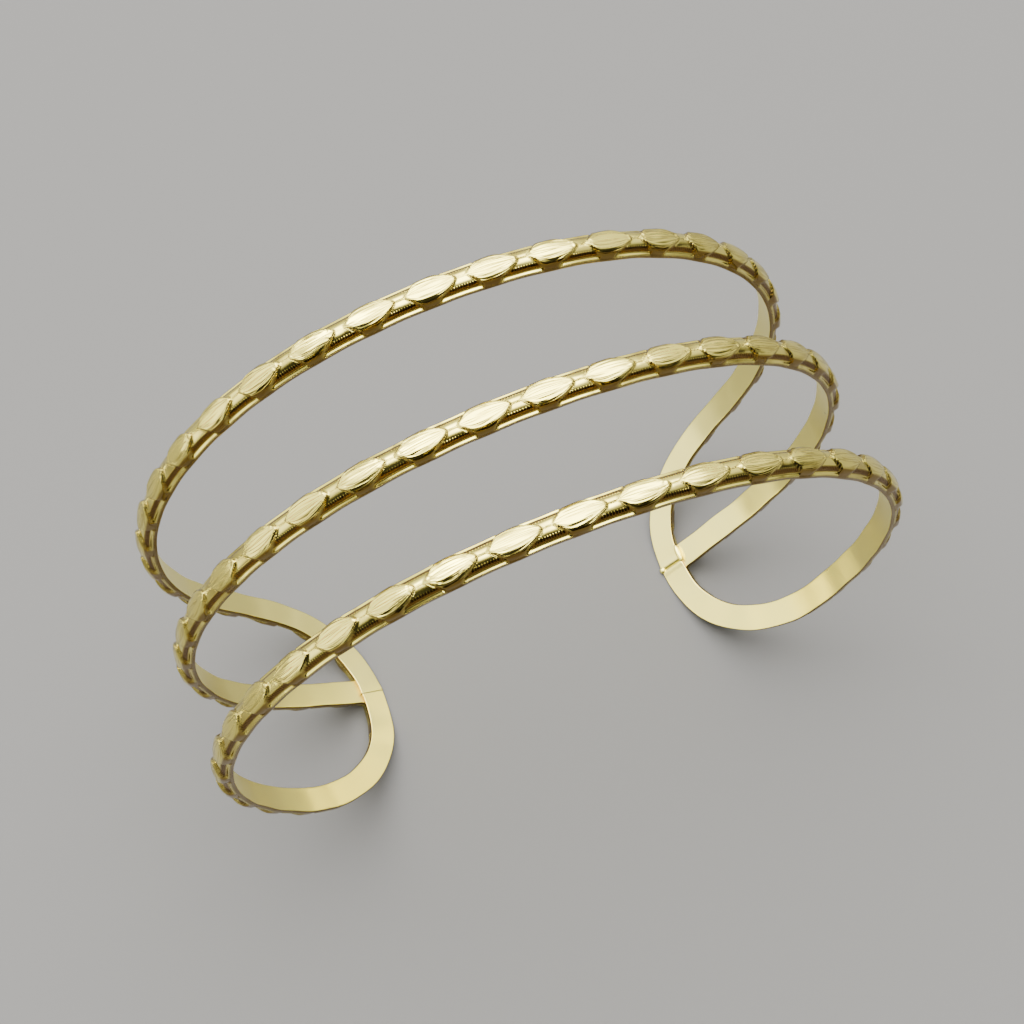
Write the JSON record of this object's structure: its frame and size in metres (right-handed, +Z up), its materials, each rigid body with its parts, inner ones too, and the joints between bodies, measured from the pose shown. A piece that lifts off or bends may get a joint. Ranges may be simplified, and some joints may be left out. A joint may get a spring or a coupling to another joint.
{
  "type": "cuff bracelet",
  "caption": "Rigid open cuff bracelet of leaf-patterned half-round brass wires, bent into a long loop with a middle wire soldered between its rounded ends.",
  "frame": {"origin": "bottom centre of the cuff's box, on the surface that its two rounded ends stand on", "axes": "+X across the wrist, towards the tips of the leaves; +Y along the arm, towards the narrower end; +Z up, from the opening to the top"},
  "size_m": [0.0652, 0.027, 0.0583],
  "materials": {
    "brass": "pale gold brass, brightly polished on the patterned dome and satin on the flat inner face"
  },
  "bodies": {
    "root": {"triple_wire_cuff": "brass"}
  },
  "joints": []
}
